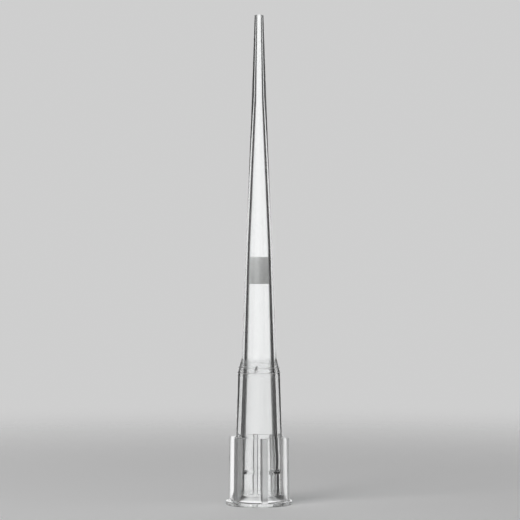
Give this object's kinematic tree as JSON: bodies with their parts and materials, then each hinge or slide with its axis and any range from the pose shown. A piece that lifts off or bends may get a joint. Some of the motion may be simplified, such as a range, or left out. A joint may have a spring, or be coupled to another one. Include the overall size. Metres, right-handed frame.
{
  "type": "pipette tip",
  "caption": "Long slender clear pipette tip: a fine tapered cone above a stepped shoulder, a ribbed collar with a flared rim, and a porous filter plug in the bore.",
  "frame": {"origin": "centre of the rim's face, on the surface that the tip stands on", "axes": "+Z along the tip's axis, from the rim to the orifice"},
  "size_m": [0.0062, 0.0062, 0.046],
  "materials": {
    "clear_plastic": "clear moulded polypropylene, polished, with a faint haze",
    "filter": "sintered porous polyethylene, matt and finely pitted"
  },
  "bodies": {
    "root": {"tip_body": "clear_plastic", "filter_plug": "filter"}
  },
  "joints": []
}
